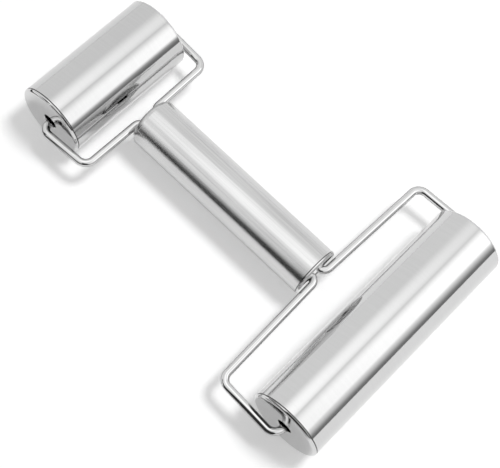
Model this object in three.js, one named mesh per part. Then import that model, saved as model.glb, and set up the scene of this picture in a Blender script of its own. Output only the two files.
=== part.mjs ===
// Double-ended dough hand roller in stainless steel.
// A wide and a narrow hollow drum turn on a bent wire frame, which runs through a tube handle.
// Millimetres. X runs along the drums, Y along the handle from the wide drum to the narrow one,
// and Z is up. The origin is on the table, midway between the drums' outermost points.

import * as THREE from 'three';

// Drums: straight tubes between two end caps. A drum's length runs from face to face of its caps.
const DRUM_DIAMETER = 30.8;
const LARGE_DRUM_LENGTH = 106;
const SMALL_DRUM_LENGTH = 60;
const DRUM_WALL = 0.8;

// End caps: pressed cups whose round rim sits on the end of the tube, level with its outside, and
// whose hole turns in to a short collar
const CAP_SHEET = 0.8;
const CAP_RIM = 1;
const CAP_SKIRT = 6;
const HOLE_COLLAR = 2.4;
const HOLE_ENTRY_RADIUS = 0.5;
const BEARING_HOLE_DIAMETER = 6.4;

// Handle: a drawn tube, closed and rounded at the narrow drum, capped at the wide drum. It hangs on
// the wires by its end holes, with its axis a little below theirs.
const HANDLE_DIAMETER = 21.5;
const HANDLE_LENGTH = 91.3;
const HANDLE_WALL = 0.8;
const HANDLE_DROP = 0.9;
const HANDLE_END_FILLET = 2.5;

// Frame wires: gaps, spacings and radii are measured to the wire's centreline. Inside the handle the
// two wires spread a little from the wide drum's end to the narrow drum's. The yokes' corners are bent
// wider than the turns at the handle and at the narrow drum's journals.
const WIRE_DIAMETER = 3.2;
const WIRE_BEND_RADIUS = 3.2;
const YOKE_BEND_RADIUS = 4.2;
const LARGE_END_SPACING = 4;
const SMALL_END_SPACING = 7;
const JOURNAL_REACH = 9;
const LARGE_BAR_STANDOFF = 1.85;
const LARGE_BAR_GAP = 15.05;
const LARGE_BAR_SWEEP = 1.7;
const LARGE_ARM_GAP = 3.4;
const LARGE_ARM_SPLAY = 1.3;
const SMALL_BAR_STANDOFF = 1.8;
const SMALL_BAR_GAP = 8.4;
const SMALL_BAR_SWEEP = 0.4;
const SMALL_ARM_GAP = 2.8;
const SMALL_ARM_SPLAY = 1.2;

// Clearance between pieces that seat on each other
const SEAT_GAP = 0.2;

// Faceting of the round forms
const ROUND_FACETS = 32;
const WIRE_FACETS = 12;
const BEND_STEPS = 5;
const FILLET_STEPS = 4;
const RIM_STEPS = 3;
const SMALL_ROUND_STEPS = 2;

// Places that follow from the sizes
const DRUM_RADIUS = DRUM_DIAMETER / 2;
const HANDLE_RADIUS = HANDLE_DIAMETER / 2;
const WIRE_RADIUS = WIRE_DIAMETER / 2;
const HOLE_RADIUS = BEARING_HOLE_DIAMETER / 2;
const LARGE_ARM = DRUM_RADIUS + LARGE_BAR_GAP;
const SMALL_ARM = DRUM_RADIUS + SMALL_BAR_GAP;
const AXLE_SPACING = LARGE_ARM + LARGE_BAR_STANDOFF + HANDLE_LENGTH + SMALL_BAR_STANDOFF + SMALL_ARM;
const LARGE_AXLE_Y = -AXLE_SPACING / 2;
const SMALL_AXLE_Y = AXLE_SPACING / 2;
const LARGE_BAR_Y = LARGE_AXLE_Y + LARGE_ARM;
const SMALL_BAR_Y = SMALL_AXLE_Y - SMALL_ARM;
const HANDLE_LARGE_END_Y = LARGE_BAR_Y + LARGE_BAR_STANDOFF;
const HANDLE_SMALL_END_Y = SMALL_BAR_Y - SMALL_BAR_STANDOFF;

// The drums stand on the table, and the frame's journals hang in the bottom of the bearing holes
const FRAME_HEIGHT = DRUM_RADIUS - (HOLE_RADIUS - WIRE_RADIUS - SEAT_GAP);

const QUARTER = Math.PI / 2;

const polishedSteel = { color: 0xd6d7d8, roughness: 0.12, metalness: 1 };
const brushedSteel = { color: 0xc2c2c1, roughness: 0.38, metalness: 1 };
const brightWire = { color: 0xdcdddd, roughness: 0.08, metalness: 1 };

function namedMesh(name, geometry, finish) {
  const mesh = new THREE.Mesh(geometry, new THREE.MeshStandardMaterial(finish));
  mesh.name = name;
  return mesh;
}

// Points of an arc in an outline's plane; a round of no radius is its corner point alone
function arc(centreX, centreY, radius, startAngle, endAngle, steps) {
  if (radius <= 0) return [new THREE.Vector2(centreX, centreY)];
  const points = [];
  for (let i = 0; i <= steps; i++) {
    const angle = startAngle + (endAngle - startAngle) * i / steps;
    points.push(new THREE.Vector2(centreX + radius * Math.cos(angle), centreY + radius * Math.sin(angle)));
  }
  return points;
}

function point(radius, along) {
  return new THREE.Vector2(radius, along);
}

// Closed outline of (radius, along) points, turned about Y. Radii are measured to the flats of the
// facets, and one flat faces straight down.
function revolve(outline) {
  const cornerFactor = 1 / Math.cos(Math.PI / ROUND_FACETS);
  const closed = [...outline, outline[0]];
  const profile = closed.map((p) => new THREE.Vector2(p.x * cornerFactor, p.y));
  return new THREE.LatheGeometry(profile, ROUND_FACETS, Math.PI / ROUND_FACETS);
}

function drumShell(length) {
  const end = length / 2 - CAP_RIM - SEAT_GAP;
  const inner = DRUM_RADIUS - DRUM_WALL;
  return revolve([point(DRUM_RADIUS, end), point(inner, end), point(inner, -end), point(DRUM_RADIUS, -end)]);
}

// A pressed cap for the end of a tube. Its face lies at 0 and looks up, its rim covers the tube's wall,
// its skirt lines the tube, and its hole turns in to a collar.
function pressedCap(tubeRadius, wall, holeRadius) {
  const skirtRadius = tubeRadius - wall - SEAT_GAP;
  const innerSkirt = skirtRadius - CAP_SHEET;
  const collarRadius = holeRadius + CAP_SHEET;
  const entry = HOLE_ENTRY_RADIUS;
  return revolve([
    point(skirtRadius, -CAP_SKIRT),
    point(skirtRadius, -CAP_RIM),
    ...arc(tubeRadius - CAP_RIM, -CAP_RIM, CAP_RIM, 0, QUARTER, RIM_STEPS),
    ...arc(holeRadius + entry, -entry, entry, QUARTER, 2 * QUARTER, SMALL_ROUND_STEPS),
    point(holeRadius, -HOLE_COLLAR),
    point(collarRadius, -HOLE_COLLAR),
    point(collarRadius, -CAP_SHEET),
    point(innerSkirt, -CAP_SHEET),
    point(innerSkirt, -CAP_SKIRT),
  ]);
}

// Radius of a round hole in the handle that passes both wires at their spacing, where their bend has
// begun `depth` before its face
function wireHoleRadius(spacing, depth) {
  const innerBend = WIRE_BEND_RADIUS - WIRE_RADIUS;
  const begun = Math.min(Math.max(depth, 0), innerBend);
  const sideways = innerBend - Math.sqrt(innerBend ** 2 - begun ** 2);
  return Math.hypot(spacing / 2 + sideways, HANDLE_DROP) + WIRE_RADIUS + SEAT_GAP;
}

function handleTube() {
  const holeRadius = wireHoleRadius(SMALL_END_SPACING, WIRE_BEND_RADIUS - SMALL_BAR_STANDOFF);
  const fillet = HANDLE_END_FILLET;
  const innerFillet = fillet - HANDLE_WALL;
  const filletAlong = HANDLE_SMALL_END_Y - fillet;
  const cutEnd = HANDLE_LARGE_END_Y + CAP_RIM + SEAT_GAP;
  return revolve([
    point(HANDLE_RADIUS - HANDLE_WALL, cutEnd),
    point(HANDLE_RADIUS, cutEnd),
    ...arc(HANDLE_RADIUS - fillet, filletAlong, fillet, 0, QUARTER, FILLET_STEPS),
    point(holeRadius, HANDLE_SMALL_END_Y),
    point(holeRadius, HANDLE_SMALL_END_Y - HANDLE_WALL),
    ...arc(HANDLE_RADIUS - fillet, filletAlong, innerFillet, QUARTER, 0, FILLET_STEPS),
  ]);
}

function handleCap() {
  const holeRadius = wireHoleRadius(LARGE_END_SPACING, WIRE_BEND_RADIUS - LARGE_BAR_STANDOFF);
  return pressedCap(HANDLE_RADIUS, HANDLE_WALL, holeRadius);
}

// A path through listed stations, so that straight runs take one step and bends take several
class WirePath extends THREE.Curve {
  constructor(stations) {
    super();
    this.stations = stations;
  }

  station(share) {
    return this.stations[Math.round(share * (this.stations.length - 1))];
  }

  getPointAt(share, target = new THREE.Vector3()) {
    return target.copy(this.station(share).place);
  }

  getTangentAt(share, target = new THREE.Vector3()) {
    return target.copy(this.station(share).heading);
  }
}

function headingBetween(from, to) {
  return to.clone().sub(from).normalize();
}

// Stations along straight runs between corners, each corner rounded to its bend radius
function bentStations(corners, bendRadii) {
  const last = corners.length - 1;
  const stations = [{ place: corners[0], heading: headingBetween(corners[0], corners[1]) }];
  for (let i = 1; i < last; i++) {
    const arriving = headingBetween(corners[i - 1], corners[i]);
    const leaving = headingBetween(corners[i], corners[i + 1]);
    const turn = arriving.angleTo(leaving);
    const inward = leaving.clone().addScaledVector(arriving, -Math.cos(turn)).normalize();
    const radius = bendRadii[i];
    const start = corners[i].clone().addScaledVector(arriving, -radius * Math.tan(turn / 2));
    for (let step = 0; step <= BEND_STEPS; step++) {
      const angle = turn * step / BEND_STEPS;
      const place = start.clone()
        .addScaledVector(arriving, radius * Math.sin(angle))
        .addScaledVector(inward, radius * (1 - Math.cos(angle)));
      const heading = arriving.clone().multiplyScalar(Math.cos(angle))
        .addScaledVector(inward, Math.sin(angle));
      stations.push({ place, heading });
    }
  }
  stations.push({ place: corners[last], heading: headingBetween(corners[last - 1], corners[last]) });
  return stations;
}

function wireSection() {
  const points = [];
  for (let i = 0; i < WIRE_FACETS; i++) {
    const angle = 2 * Math.PI * (i + 0.5) / WIRE_FACETS;
    points.push(new THREE.Vector2(WIRE_RADIUS * Math.cos(angle), WIRE_RADIUS * Math.sin(angle)));
  }
  return new THREE.Shape(points);
}

// One frame wire on the side given by +1 or -1: a journal in the wide drum, an arm, a crossbar to the
// handle, the run through it, and the same again to the narrow drum
function frameWire(side) {
  const largeFace = LARGE_DRUM_LENGTH / 2;
  const smallFace = SMALL_DRUM_LENGTH / 2;
  const largeArm = largeFace + LARGE_ARM_GAP;
  const smallArm = smallFace + SMALL_ARM_GAP;
  const route = [
    [largeFace - JOURNAL_REACH, LARGE_AXLE_Y, 0],
    [largeArm + LARGE_ARM_SPLAY, LARGE_AXLE_Y, YOKE_BEND_RADIUS],
    [largeArm, LARGE_BAR_Y - LARGE_BAR_SWEEP, YOKE_BEND_RADIUS],
    [LARGE_END_SPACING / 2, LARGE_BAR_Y, WIRE_BEND_RADIUS],
    [SMALL_END_SPACING / 2, SMALL_BAR_Y, WIRE_BEND_RADIUS],
    [smallArm, SMALL_BAR_Y + SMALL_BAR_SWEEP, YOKE_BEND_RADIUS],
    [smallArm + SMALL_ARM_SPLAY, SMALL_AXLE_Y, WIRE_BEND_RADIUS],
    [smallFace - JOURNAL_REACH, SMALL_AXLE_Y, 0],
  ];
  const corners = route.map(([x, y]) => new THREE.Vector3(side * x, y, 0));
  const bendRadii = route.map(([x, y, radius]) => radius);
  const stations = bentStations(corners, bendRadii);
  return new THREE.ExtrudeGeometry(wireSection(), {
    steps: stations.length - 1,
    extrudePath: new WirePath(stations),
  });
}

// A drum on its axle, along X: the shell and its two caps
function drum(size, length, axleY) {
  const group = new THREE.Group();
  const shell = namedMesh(`${size}_drum_shell`, drumShell(length), polishedSteel);
  shell.rotation.z = -QUARTER;
  group.add(shell);
  for (const [label, side] of [['left', -1], ['right', 1]]) {
    const form = pressedCap(DRUM_RADIUS, DRUM_WALL, HOLE_RADIUS);
    const cap = namedMesh(`${size}_drum_${label}_cap`, form, polishedSteel);
    cap.rotation.z = -side * QUARTER;
    cap.position.x = side * length / 2;
    group.add(cap);
  }
  group.position.set(0, axleY, DRUM_RADIUS);
  return group;
}

// The handle with the two frame wires that run through it
function frame() {
  const group = new THREE.Group();
  const tube = namedMesh('handle_tube', handleTube(), brushedSteel);
  tube.position.z = -HANDLE_DROP;
  group.add(tube);
  const cap = namedMesh('handle_end_cap', handleCap(), polishedSteel);
  cap.rotation.z = Math.PI;
  cap.position.set(0, HANDLE_LARGE_END_Y, -HANDLE_DROP);
  group.add(cap);
  group.add(namedMesh('left_frame_wire', frameWire(-1), brightWire));
  group.add(namedMesh('right_frame_wire', frameWire(1), brightWire));
  group.position.z = FRAME_HEIGHT;
  return group;
}

const roller = new THREE.Group();
roller.name = 'dough_hand_roller';
roller.add(drum('large', LARGE_DRUM_LENGTH, LARGE_AXLE_Y));
roller.add(drum('small', SMALL_DRUM_LENGTH, SMALL_AXLE_Y));
roller.add(frame());

export default roller;
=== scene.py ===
"""Studio scene of a double-ended dough hand roller in stainless steel."""

import math

import bpy
from mathutils import Matrix, Vector


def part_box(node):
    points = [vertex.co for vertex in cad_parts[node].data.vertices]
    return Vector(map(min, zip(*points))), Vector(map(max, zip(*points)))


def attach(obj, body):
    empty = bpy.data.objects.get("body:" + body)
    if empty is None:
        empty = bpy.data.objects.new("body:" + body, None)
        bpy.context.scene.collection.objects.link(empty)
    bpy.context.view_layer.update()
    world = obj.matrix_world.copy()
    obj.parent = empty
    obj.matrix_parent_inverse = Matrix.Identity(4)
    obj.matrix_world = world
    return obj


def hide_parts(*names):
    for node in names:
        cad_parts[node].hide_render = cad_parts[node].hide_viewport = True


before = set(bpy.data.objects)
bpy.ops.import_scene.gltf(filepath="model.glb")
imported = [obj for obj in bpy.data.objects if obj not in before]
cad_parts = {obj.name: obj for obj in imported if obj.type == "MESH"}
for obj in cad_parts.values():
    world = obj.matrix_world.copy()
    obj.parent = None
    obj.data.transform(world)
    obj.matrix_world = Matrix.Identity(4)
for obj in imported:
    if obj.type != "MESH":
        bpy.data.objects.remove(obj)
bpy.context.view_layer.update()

MM = 0.001

# Tubes of the drums and the handle, and the pressed caps whose rounded rims sit on their ends
DRUM_WALL = 0.8 * MM
HANDLE_WALL = 0.8 * MM
HANDLE_SHOULDER_RADIUS = 2.5 * MM
CAP_SHEET = 0.8 * MM
CAP_RIM = 1 * MM
CAP_SKIRT = 6 * MM
RIM_BEVEL_DEPTH = 0.85 * MM
RIM_BEVEL_INSET = 0.5 * MM
RIM_OUTER_RADIUS = 0.1 * MM
RIM_INNER_RADIUS = 1.3 * MM
HOLE_COLLAR = 2.4 * MM
HOLE_ENTRY_RADIUS = 0.5 * MM
BEARING_HOLE_RADIUS = 3.2 * MM

# Seams between a tube and its caps: open at the drums' left ends and closed at their right ends
OPEN_SEAM = 0.35 * MM
TIGHT_SEAM = 0.01 * MM
HANDLE_SEAM = 0.3 * MM

# Frame wires: spacings, gaps and bend radii are measured to the wire's centreline. The yoke's bend radius
# is that of the yokes' corners and the wide drum's journals.
WIRE_RADIUS = 1.6 * MM
WIRE_TIP_CHAMFER = 0.3 * MM
WIRE_BEND_RADIUS = 3.2 * MM
YOKE_BEND_RADIUS = 4.2 * MM
JOURNAL_REACH = 9 * MM
LARGE_END_SPACING = 4 * MM
LARGE_BAR_STANDOFF = 1.85 * MM
LARGE_BAR_SWEEP = 1.7 * MM
LARGE_ARM_GAP = 3.4 * MM
LARGE_ARM_SPLAY = 1.3 * MM
SMALL_END_SPACING = 7 * MM
SMALL_BAR_STANDOFF = 1.8 * MM
SMALL_BAR_SWEEP = 0.4 * MM
SMALL_ARM_GAP = 2.8 * MM
SMALL_ARM_SPLAY = 1.2 * MM

# Fit of a cap's skirt in its tube and of the wires in the handle, the ease on a sheet's cut edges, and the
# distance from the handle's axis within which the outline of an end belongs to its wire slot
FIT = 0.05 * MM
CUT_EDGE_RADIUS = 0.06 * MM
WIRE_SLOT_EDGE = 4 * MM

# Smoothness of the meshes: a run longer than the supported one gets a point near both its ends
ROUND_STEPS = 192
WIRE_STEPS = 32
BEND_STEPS = 14
EDGE_STEPS = 8
SUPPORT = 0.12 * MM
SUPPORTED_RUN = 3 * SUPPORT
SHARP_ANGLE = math.radians(35)

# Grain of the steel: marks per metre along a piece's own axes, where Z is the axis of a turned piece
TURNED_GRAIN = (60, 60, 1800)
BRUSHED_GRAIN = (1800, 1800, 18)
SHEET_GRAIN = (900, 900, 900)
WIRE_GRAIN = (400, 400, 400)
CLOUD_GRAIN = (45, 45, 45)
GRAIN_DETAIL = 4.0
CLOUD_DETAIL = 2.0
GRAIN_HEIGHT = 0.02 * MM

# Unevenness of the steel: the grain's share of it, the rest being clouds, and the ends of its range
GRAIN_SHARE = 0.7
TONE_LOW = 0.25
TONE_HIGH = 0.75

# Painted shade in a seam: the heights on a cap, from its face, where the sheet is painted dark and where it
# is left unshaded, and the share of its brightness that the painted dark part keeps
SEAM_DARK = -1.05 * CAP_RIM
SEAM_UNSHADED = -0.98 * CAP_RIM
SEAM_SHADE = 0.05

# The camera, at the photograph's viewing angle
CAMERA_PLACE = Vector((-172.834, -110.41, 476.098)) * MM
CAMERA_AIM = Vector((-7.308, -13.408, 15.4)) * MM
CAMERA_ROLL = math.radians(14.603)
CAMERA_LENS = 93.105
CAMERA_NEAREST = 10 * MM
SENSOR_WIDTH = 36

# The table top
FLOOR_SIZE = 8.0
FLOOR_SHADE = 0.88
FLOOR_GLOW = 0.28

# The room: white to the camera, pale to the steel with a dark part low down beyond the wide drum,
# and an even fill for the table
ROOM_SHADE = 0.95
ROOM_FILL = 0.41
DARK_SHARE = 0.75
DARK_TOP_START = 0.08
DARK_TOP_END = 0.42
DARK_EDGE_START = 0.3
DARK_EDGE_END = 0.8

# The light that throws the shadow
KEY_PLACE = Vector((0.875, -0.5, 2.5))
KEY_SIZE = 0.625
KEY_BRIGHTNESS = 30

# The dark studio cards, and the share of a side over which a hard edge fades
CARD_SHADE = 0.04
HARD_EDGE = 0.001


def middle(low, high):
    """What lies halfway between two points or two numbers."""
    return (low + high) / 2


def add_object(name, data):
    """An object in the scene that holds a mesh, a light or a camera."""
    holder = bpy.data.objects.new(name, data)
    bpy.context.scene.collection.objects.link(holder)
    return holder


def aimed(place, target):
    """The transform of a light or a camera at a place, looking at a target."""
    turn = (target - place).to_track_quat("-Z", "Y").to_matrix().to_4x4()
    return Matrix.Translation(place) @ turn


def corner_arc(before, corner, after, radius, steps):
    """Places and headings along the arc that rounds the corner between two straight runs."""
    arriving = (corner - before).normalized()
    leaving = (after - corner).normalized()
    turn = arriving.angle(leaving)
    inward = (leaving - arriving * math.cos(turn)).normalized()
    start = corner - arriving * radius * math.tan(turn / 2)
    stations = []
    for step in range(steps + 1):
        angle = turn * step / steps
        place = start + arriving * radius * math.sin(angle)
        place = place + inward * radius * (1 - math.cos(angle))
        stations.append((place, arriving * math.cos(angle) + inward * math.sin(angle)))
    return stations


def finish_mesh(name, points, faces, material):
    """A smooth piece with sharp edges only at its true corners."""
    mesh = bpy.data.meshes.new(name)
    mesh.from_pydata(points, [], faces)
    mesh.validate()
    mesh.materials.append(material)
    mesh.shade_smooth()
    mesh.set_sharp_from_angle(angle=SHARP_ANGLE)
    return add_object(name, mesh)


# Turned pieces: an outline of (radius, along) corners is rounded and turned about the local Z axis


def rounded_outline(corners):
    """A closed outline from (radius, along, rounding) corners, where a rounding of 0 keeps the corner."""
    places = [Vector(corner[:2]) for corner in corners]
    arcs = []
    for i, corner in enumerate(places):
        rounding = corners[i][2]
        if rounding > 0:
            after = places[(i + 1) % len(places)]
            stations = corner_arc(places[i - 1], corner, after, rounding, EDGE_STEPS)
            arcs.append([place for place, heading in stations])
        else:
            arcs.append([corner])
    outline = []
    for i, arc in enumerate(arcs):
        outline.extend(arc)
        run = arcs[(i + 1) % len(arcs)][0] - arc[-1]
        if run.length > SUPPORTED_RUN:
            outline.append(arc[-1] + run.normalized() * SUPPORT)
            outline.append(arc[-1] + run - run.normalized() * SUPPORT)
    return outline


def slot_point(angle, half_straight, end_radius):
    """Place on the outline of a slot with round ends, or of a circle where it has no straight sides."""
    quarter_turn = math.pi / 2
    share = math.asin(min(abs(math.sin(angle)), 1)) / quarter_turn
    walked = share * (half_straight + end_radius * quarter_turn)
    round_walk = min(walked, end_radius * quarter_turn)
    turn = round_walk / end_radius
    across = half_straight - (walked - round_walk) + end_radius * math.cos(turn)
    up = end_radius * math.sin(turn)
    return math.copysign(across, math.cos(angle)), math.copysign(up, math.sin(angle))


def turned(name, corners, centre, axis, material, slot=(0, 0)):
    """A solid of revolution at a centre, with its local Z axis along the given direction. The slot is the
    half length of straight side and the local rise that turn the hole in its middle into a slot."""
    outline = rounded_outline(corners)
    count = len(outline)
    points = []
    faces = []
    for step in range(ROUND_STEPS):
        angle = 2 * math.pi * step / ROUND_STEPS
        for p in outline:
            half_straight, rise = slot if p.x < WIRE_SLOT_EDGE else (0, 0)
            across, up = slot_point(angle, half_straight, p.x)
            points.append((across, up + rise, p.y))
    for step in range(ROUND_STEPS):
        here = step * count
        there = (step + 1) % ROUND_STEPS * count
        for i in range(count):
            j = (i + 1) % count
            faces.append((here + i, there + i, there + j, here + j))
    piece = finish_mesh(name, points, faces, material)
    turn = Vector((0, 0, 1)).rotation_difference(axis).to_matrix().to_4x4()
    piece.matrix_world = Matrix.Translation(centre) @ turn
    return piece


def pressed_cap(tube_radius, wall, hole_radius):
    """Corners of a cap whose face lies at 0 and looks up along the axis."""
    skirt = tube_radius - wall - FIT
    inner_skirt = skirt - CAP_SHEET
    collar = hole_radius + CAP_SHEET
    return [
        (skirt, -CAP_SKIRT, CUT_EDGE_RADIUS),
        (skirt, -CAP_RIM, 0),
        (tube_radius, -CAP_RIM, CUT_EDGE_RADIUS),
        (tube_radius, -RIM_BEVEL_DEPTH, RIM_OUTER_RADIUS),
        (tube_radius - RIM_BEVEL_INSET, 0, RIM_INNER_RADIUS),
        (hole_radius, 0, HOLE_ENTRY_RADIUS),
        (hole_radius, -HOLE_COLLAR, CUT_EDGE_RADIUS),
        (collar, -HOLE_COLLAR, CUT_EDGE_RADIUS),
        (collar, -CAP_SHEET, HOLE_ENTRY_RADIUS),
        (inner_skirt, -CAP_SHEET, HOLE_ENTRY_RADIUS),
        (inner_skirt, -CAP_SKIRT, CUT_EDGE_RADIUS),
    ]


# Frame wires: a round section swept along straight runs and bends


def bent_path(corners, bend_radii):
    """Places and headings along straight runs, with each corner between them bent to its radius."""
    stations = [(corners[0], (corners[1] - corners[0]).normalized())]
    for before, corner, after, radius in zip(corners, corners[1:], corners[2:], bend_radii[1:]):
        stations.extend(corner_arc(before, corner, after, radius, BEND_STEPS))
    stations.append((corners[-1], (corners[-1] - corners[-2]).normalized()))
    return stations


def chamfered(stations):
    """Stations with their section radius, narrowed at both tips."""
    sections = [(place, heading, WIRE_RADIUS) for place, heading in stations]
    first_place, first_heading = stations[0]
    last_place, last_heading = stations[-1]
    tip_radius = WIRE_RADIUS - WIRE_TIP_CHAMFER
    sections[0] = (first_place + first_heading * WIRE_TIP_CHAMFER, first_heading, WIRE_RADIUS)
    sections[-1] = (last_place - last_heading * WIRE_TIP_CHAMFER, last_heading, WIRE_RADIUS)
    return [(first_place, first_heading, tip_radius), *sections, (last_place, last_heading, tip_radius)]


def closed_grid(rings):
    """Quads between neighbouring closed rings of as many points each."""
    faces = []
    count = len(rings[0])
    for i in range(len(rings) - 1):
        for j in range(count):
            k = (j + 1) % count
            faces.append((i * count + j, i * count + k, (i + 1) * count + k, (i + 1) * count + j))
    return faces


def swept_wire(name, corners, bend_radii, material):
    """A bent wire in a level plane, closed at both tips."""
    upward = Vector((0, 0, 1))
    rings = []
    for place, heading, radius in chamfered(bent_path(corners, bend_radii)):
        sideways = upward.cross(heading).normalized()
        ring = []
        for step in range(WIRE_STEPS):
            angle = 2 * math.pi * step / WIRE_STEPS
            ring.append(place + (sideways * math.cos(angle) + upward * math.sin(angle)) * radius)
        rings.append(ring)
    faces = closed_grid(rings)
    count = len(rings) * WIRE_STEPS
    faces.append(tuple(reversed(range(WIRE_STEPS))))
    faces.append(tuple(range(count - WIRE_STEPS, count)))
    return finish_mesh(name, [p for ring in rings for p in ring], faces, material)


# Materials


class Graph:
    """A short way to add and join shader nodes in one node tree."""

    def __init__(self, tree):
        self.tree = tree
        self.tree.nodes.clear()

    def node(self, kind, inputs=None, **settings):
        node = self.tree.nodes.new(kind)
        for key, value in settings.items():
            setattr(node, key, value)
        for key, value in (inputs or {}).items():
            if isinstance(value, bpy.types.NodeSocket):
                self.tree.links.new(value, node.inputs[key])
            else:
                node.inputs[key].default_value = value
        return node

    def math(self, operation, *values):
        return self.node("ShaderNodeMath", dict(enumerate(values)), operation=operation).outputs[0]

    def ramp(self, value, low, high, to_low=0.0, to_high=1.0):
        inputs = {"Value": value, "From Min": low, "From Max": high, "To Min": to_low, "To Max": to_high}
        return self.node("ShaderNodeMapRange", inputs, interpolation_type="SMOOTHSTEP").outputs[0]


def new_material(name):
    """An empty material and the graph of its nodes."""
    material = bpy.data.materials.new(name)
    material.use_nodes = True
    return material, Graph(material.node_tree)


def noise(graph, marks, detail):
    """Noise in the piece's own coordinates, with so many marks per metre along each axis."""
    place = graph.node("ShaderNodeTexCoord").outputs["Object"]
    mapped = graph.node("ShaderNodeMapping", {"Vector": place, "Scale": marks}).outputs[0]
    return graph.node("ShaderNodeTexNoise", {"Vector": mapped, "Scale": 1.0, "Detail": detail}).outputs[0]


def seam_shade_share(graph):
    """The share of its brightness that a cap's sheet keeps, from the painted shade in the seam to the
    unshaded rim.
    """
    place = graph.node("ShaderNodeTexCoord").outputs["Object"]
    height = graph.node("ShaderNodeSeparateXYZ", {0: place}).outputs["Z"]
    return graph.ramp(height, SEAM_DARK, SEAM_UNSHADED, SEAM_SHADE, 1.0)


def steel(name, grain, grain_depth, shade, shade_swing, roughness, roughness_swing, edge_tint=1.0,
          painted_seam_shade=False):
    """Bare stainless steel with a fine grain, faint clouding and a little uneven polish, with painted shade
    in the seam under a cap's rim where asked.
    """
    material, graph = new_material(name)
    marks = noise(graph, grain, GRAIN_DETAIL)
    clouds = noise(graph, CLOUD_GRAIN, CLOUD_DETAIL)
    marks_part = graph.math("MULTIPLY", marks, GRAIN_SHARE)
    clouds_part = graph.math("MULTIPLY", clouds, 1 - GRAIN_SHARE)
    tone = graph.math("ADD", marks_part, clouds_part)
    value = graph.ramp(tone, TONE_LOW, TONE_HIGH, shade - shade_swing, shade + shade_swing)
    # Painted shade: a cap's sheet turns dark down into the seam under its rim
    if painted_seam_shade:
        value = graph.math("MULTIPLY", value, seam_shade_share(graph))
    colour = graph.node("ShaderNodeCombineColor", {0: value, 1: value, 2: value})
    rough = graph.ramp(tone, TONE_LOW, TONE_HIGH, roughness - roughness_swing, roughness + roughness_swing)
    bump_inputs = {"Height": marks, "Strength": grain_depth, "Distance": GRAIN_HEIGHT}
    bump = graph.node("ShaderNodeBump", bump_inputs)
    shader = graph.node("ShaderNodeBsdfPrincipled", {
        "Base Color": colour.outputs[0],
        "Metallic": 1.0,
        "Specular Tint": (edge_tint, edge_tint, edge_tint, 1),
        "Roughness": rough,
        "Normal": bump.outputs[0],
    })
    graph.node("ShaderNodeOutputMaterial", {"Surface": shader.outputs[0]})
    return material


def drum_polish(name, shade):
    """Mirror-polished tube with fine rings round it."""
    return steel(name, TURNED_GRAIN, grain_depth=0.011, shade=shade, shade_swing=0.012,
                 roughness=0.075, roughness_swing=0.02)


large_drum_polish = drum_polish("large_drum_polish", 0.62)
# The small drum is the same steel as the wide one; its lower shade is painted shade for the dimmer light it
# mirrors
small_drum_shaded_polish = drum_polish("small_drum_shaded_polish", 0.575)
# The caps carry painted shade in the seam under their rims
cap_polish = steel("cap_polish", SHEET_GRAIN, grain_depth=0.03, shade=0.62, shade_swing=0.012,
                   roughness=0.055, roughness_swing=0.015, painted_seam_shade=True)
handle_satin = steel("handle_satin", BRUSHED_GRAIN, grain_depth=0.06, shade=0.6, shade_swing=0.06,
                     roughness=0.22, roughness_swing=0.05)
wire_bright = steel("wire_bright", WIRE_GRAIN, grain_depth=0.03, shade=0.64, shade_swing=0.015,
                    roughness=0.05, roughness_swing=0.02, edge_tint=0.0)


# The object, piece by piece


def drum(size, body, polish):
    """The shell and both caps of one drum, on its body."""
    low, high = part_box(f"{size}_drum_shell")
    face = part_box(f"{size}_drum_right_cap")[1].x
    radius = (high.z - low.z) / 2
    inner = radius - DRUM_WALL
    centre = middle(low, high)
    left_end = face - CAP_RIM - OPEN_SEAM
    right_end = face - CAP_RIM - TIGHT_SEAM
    outline = [
        (inner, -left_end, CUT_EDGE_RADIUS),
        (radius, -left_end, CUT_EDGE_RADIUS),
        (radius, right_end, CUT_EDGE_RADIUS),
        (inner, right_end, CUT_EDGE_RADIUS),
    ]
    shell = turned(f"{size}_drum_body", outline, centre, Vector((1, 0, 0)), polish)
    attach(shell, body)
    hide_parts(f"{size}_drum_shell")
    cap_outline = pressed_cap(radius, DRUM_WALL, BEARING_HOLE_RADIUS)
    for label, side in (("left", -1), ("right", 1)):
        facing = Vector((side, 0, 0))
        cap_face = centre + facing * face
        cap = turned(f"{size}_drum_{label}_plate", cap_outline, cap_face, facing, cap_polish)
        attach(cap, body)
        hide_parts(f"{size}_drum_{label}_cap")


def wire_slot(spacing, depth):
    """Half length of the straight sides of a slot that passes both wires, which begin to bend at the given
    depth inside its face."""
    inner_bend = WIRE_BEND_RADIUS - WIRE_RADIUS
    begun = min(max(depth, 0), inner_bend)
    return spacing / 2 + inner_bend - math.sqrt(inner_bend ** 2 - begun ** 2)


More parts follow.
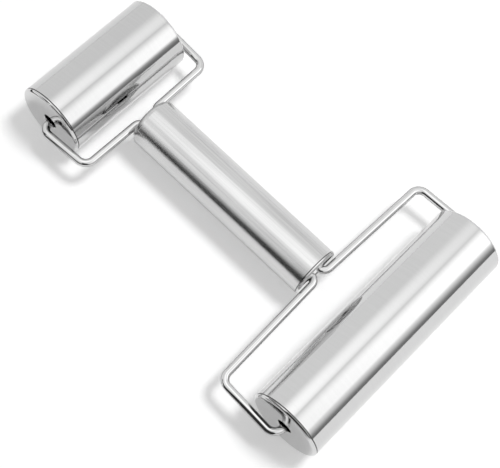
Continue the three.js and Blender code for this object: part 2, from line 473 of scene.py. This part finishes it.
def handle():
    """The tube, turned about +Y, and the cap on its end at the wide drum."""
    low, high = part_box("handle_tube")
    cap_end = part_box("handle_end_cap")[0].y
    wire_low, wire_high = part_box("left_frame_wire")
    radius = (high.x - low.x) / 2
    inner = radius - HANDLE_WALL
    axis_point = Vector((middle(low.x, high.x), 0, middle(low.z, high.z)))
    cut_end = cap_end + CAP_RIM + HANDLE_SEAM
    closed_end = high.y
    drop = middle(wire_low.z, wire_high.z) - axis_point.z
    along = Vector((0, 1, 0))
    hole = WIRE_RADIUS + FIT
    outline = [
        (inner, cut_end, CUT_EDGE_RADIUS),
        (radius, cut_end, CUT_EDGE_RADIUS),
        (radius, closed_end, HANDLE_SHOULDER_RADIUS),
        (hole, closed_end, CUT_EDGE_RADIUS),
        (hole, closed_end - HANDLE_WALL, CUT_EDGE_RADIUS),
        (inner, closed_end - HANDLE_WALL, HANDLE_SHOULDER_RADIUS - HANDLE_WALL),
    ]
    small_slot = wire_slot(SMALL_END_SPACING, WIRE_BEND_RADIUS - SMALL_BAR_STANDOFF)
    tube = turned("handle_sleeve", outline, axis_point, along, handle_satin, (small_slot, -drop))
    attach(tube, "frame")
    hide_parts("handle_tube")
    cap_outline = pressed_cap(radius, HANDLE_WALL, hole)
    cap_face = axis_point + along * cap_end
    large_slot = wire_slot(LARGE_END_SPACING, WIRE_BEND_RADIUS - LARGE_BAR_STANDOFF)
    cap = turned("handle_end_plate", cap_outline, cap_face, -along, cap_polish, (large_slot, drop))
    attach(cap, "frame")
    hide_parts("handle_end_cap")


def frame_wires():
    """Both wires: a journal, an arm and a crossbar at each end, and the run through the handle. The route's
    corners are (across, along, bend radius), for the right wire."""
    large_low, large_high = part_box("large_drum_right_cap")
    small_low, small_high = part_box("small_drum_right_cap")
    wire_low, wire_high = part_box("left_frame_wire")
    large_axle = middle(large_low.y, large_high.y)
    small_axle = middle(small_low.y, small_high.y)
    large_arm = large_high.x + LARGE_ARM_GAP
    small_arm = small_high.x + SMALL_ARM_GAP
    large_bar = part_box("handle_end_cap")[0].y - LARGE_BAR_STANDOFF
    small_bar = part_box("handle_tube")[1].y + SMALL_BAR_STANDOFF
    height = middle(wire_low.z, wire_high.z)
    route = [
        (large_high.x - JOURNAL_REACH, large_axle, 0),
        (large_arm + LARGE_ARM_SPLAY, large_axle, YOKE_BEND_RADIUS),
        (large_arm, large_bar - LARGE_BAR_SWEEP, YOKE_BEND_RADIUS),
        (LARGE_END_SPACING / 2, large_bar, WIRE_BEND_RADIUS),
        (SMALL_END_SPACING / 2, small_bar, WIRE_BEND_RADIUS),
        (small_arm, small_bar + SMALL_BAR_SWEEP, YOKE_BEND_RADIUS),
        (small_arm + SMALL_ARM_SPLAY, small_axle, WIRE_BEND_RADIUS),
        (small_high.x - JOURNAL_REACH, small_axle, 0),
    ]
    bend_radii = [radius for x, y, radius in route]
    for label, side in (("left", -1), ("right", 1)):
        corners = [Vector((side * x, y, height)) for x, y, radius in route]
        wire = swept_wire(f"{label}_wire", corners, bend_radii, wire_bright)
        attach(wire, "frame")
        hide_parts(f"{label}_frame_wire")


# Floor, light and camera


def in_mirror(graph, path):
    """1 for what shows in a mirror or through glass, and 0 for anything else."""
    return graph.math("MAXIMUM", path["Is Glossy Ray"], path["Is Transmission Ray"])


def floor():
    """A wide pale table top that looks white and keeps the object's shadow."""
    half = FLOOR_SIZE / 2
    corners = [(-half, -half, 0), (half, -half, 0), (half, half, 0), (-half, half, 0)]
    mesh = bpy.data.meshes.new("floor")
    mesh.from_pydata(corners, [], [(0, 1, 2, 3)])
    material, graph = new_material("floor_white")
    matt = graph.node("ShaderNodeBsdfDiffuse", {"Color": (FLOOR_SHADE, FLOOR_SHADE, FLOOR_SHADE, 1)})
    path = graph.node("ShaderNodeLightPath").outputs
    seen = graph.math("MAXIMUM", path["Is Camera Ray"], in_mirror(graph, path))
    glow = graph.node("ShaderNodeEmission", {"Strength": graph.math("MULTIPLY", seen, FLOOR_GLOW)})
    both = graph.node("ShaderNodeAddShader", {0: matt.outputs[0], 1: glow.outputs[0]})
    graph.node("ShaderNodeOutputMaterial", {"Surface": both.outputs[0]})
    mesh.materials.append(material)
    plane = add_object("floor", mesh)


def room():
    """The world: what the camera and the steel see all round, and the fill on the table."""
    world = bpy.data.worlds.new("room")
    bpy.context.scene.world = world
    world.use_nodes = True
    graph = Graph(world.node_tree)
    direction = graph.node("ShaderNodeTexCoord").outputs["Generated"]
    parts = graph.node("ShaderNodeSeparateXYZ", {0: direction}).outputs
    low_down = graph.ramp(parts["Z"], DARK_TOP_START, DARK_TOP_END, 1.0, 0.0)
    facing = graph.ramp(parts["Y"], -DARK_EDGE_END, -DARK_EDGE_START, 1.0, 0.0)
    dark = graph.math("MULTIPLY", graph.math("MULTIPLY", low_down, facing), DARK_SHARE)
    mirrored = graph.math("MULTIPLY", graph.math("SUBTRACT", 1.0, dark), ROOM_SHADE)
    path = graph.node("ShaderNodeLightPath").outputs
    for_steel = graph.math("MULTIPLY", mirrored, in_mirror(graph, path))
    for_table = graph.math("MULTIPLY", path["Is Diffuse Ray"], ROOM_FILL)
    shown = graph.math("MAXIMUM", path["Is Camera Ray"], graph.math("ADD", for_steel, for_table))
    back = graph.node("ShaderNodeBackground", {"Color": (1, 1, 1, 1), "Strength": shown})
    graph.node("ShaderNodeOutputWorld", {"Surface": back.outputs[0]})


def key_light():
    """A small soft light high up on the right, which throws the shadow and isn't mirrored."""
    light = bpy.data.lights.new("key", "AREA")
    light.shape = "SQUARE"
    light.size = KEY_SIZE
    light.energy = KEY_BRIGHTNESS * math.pi * KEY_SIZE ** 2
    holder = add_object("key", light)
    holder.matrix_world = aimed(KEY_PLACE, Vector((0, 0, 0)))
    holder.visible_camera = False
    holder.visible_glossy = False


def panel(name, corner, across, along, shade, fade_across, fade_along):
    """A studio panel that only the steel mirrors, given by a corner and the two sides from it. It fades to
    the room's shade towards its edges, over the shares of each side that the fade pairs give."""
    corner = Vector(corner)
    across = Vector(across)
    along = Vector(along)
    points = [corner, corner + across, corner + across + along, corner + along]
    mesh = bpy.data.meshes.new(name)
    mesh.from_pydata(points, [], [(0, 1, 2, 3)])
    layer = mesh.uv_layers.new(name="sheet")
    for loop, uv in zip(layer.data, ((0, 0), (1, 0), (1, 1), (0, 1))):
        loop.uv = uv
    material, graph = new_material(name)
    place = graph.node("ShaderNodeSeparateXYZ", {0: graph.node("ShaderNodeTexCoord").outputs["UV"]})
    share = 1.0
    for value, (low, high) in zip(place.outputs, (fade_across, fade_along)):
        rise = graph.ramp(value, 0.0, low)
        fall = graph.ramp(value, 1.0 - high, 1.0, 1.0, 0.0)
        share = graph.math("MULTIPLY", share, graph.math("MULTIPLY", rise, fall))
    change = graph.math("MULTIPLY", share, shade - ROOM_SHADE)
    light = graph.node("ShaderNodeEmission", {"Strength": graph.math("ADD", change, ROOM_SHADE)})
    graph.node("ShaderNodeOutputMaterial", {"Surface": light.outputs[0]})
    mesh.materials.append(material)
    sheet = add_object(name, mesh)
    sheet.visible_camera = False
    sheet.visible_diffuse = False
    sheet.visible_shadow = False


def lights():
    """The key light, bright panels overhead and beyond the wide drum, and dark cards that stand on the
    table to the left of the tool."""
    key_light()
    panel("top_panel", corner=(-0.42, -0.3, 0.75), across=(1.1, 0, 0), along=(0, 0.85, 0),
          shade=1.6, fade_across=(0.3, 0.6), fade_along=(0.39, 0.53))
    panel("side_panel", corner=(-0.35, -0.455, 0.185), across=(1.0, 0, 0), along=(0, 0.32, 0.575),
          shade=1.75, fade_across=(0.7, 0.1), fade_along=(0.12, 0.6))
    panel("back_panel", corner=(-1.15, 0.25, 0.75), across=(0.73, 0, 0), along=(0, 0.5, 0),
          shade=1.5, fade_across=(0.4, 0.35), fade_along=(0.35, 0.3))
    panel("dark_card", corner=(-0.2, -0.012, 0), across=(0, 0.147, 0), along=(-0.1, 0, 0.21),
          shade=CARD_SHADE, fade_across=(HARD_EDGE, 0.05), fade_along=(HARD_EDGE, 0.65))
    panel("rim_card", corner=(-0.2, 0.14, 0), across=(0, 0.11, 0), along=(-0.07, 0, 0.22),
          shade=CARD_SHADE, fade_across=(0.2, 0.35), fade_along=(HARD_EDGE, 0.4))
    panel("tall_card", corner=(-0.2, -0.3, 0), across=(0, 0.288, 0), along=(-0.05, 0, 0.36),
          shade=CARD_SHADE, fade_across=(0.1, HARD_EDGE), fade_along=(HARD_EDGE, 0.25))
    panel("near_card", corner=(-0.082, -0.1, 0), across=(0, 0.07, 0), along=(0, 0, 0.014),
          shade=CARD_SHADE, fade_across=(0.1, 0.1), fade_along=(HARD_EDGE, HARD_EDGE))
    panel("low_card", corner=(-0.05, 0.06, 0), across=(0, 0.14, 0), along=(0, 0, 0.014),
          shade=CARD_SHADE, fade_across=(0.1, 0.1), fade_along=(HARD_EDGE, HARD_EDGE))


def camera():
    """The photograph's camera, rolled about its line of sight."""
    data = bpy.data.cameras.new("camera")
    data.lens = CAMERA_LENS
    data.sensor_width = SENSOR_WIDTH
    data.sensor_fit = "HORIZONTAL"
    data.clip_start = CAMERA_NEAREST
    holder = add_object("camera", data)
    holder.matrix_world = aimed(CAMERA_PLACE, CAMERA_AIM) @ Matrix.Rotation(CAMERA_ROLL, 4, "Z")
    bpy.context.scene.camera = holder


camera()
drum("large", "large_roller", large_drum_polish)
drum("small", "small_roller", small_drum_shaded_polish)
handle()
frame_wires()
floor()
room()
lights()
bpy.context.scene.view_settings.view_transform = "Standard"
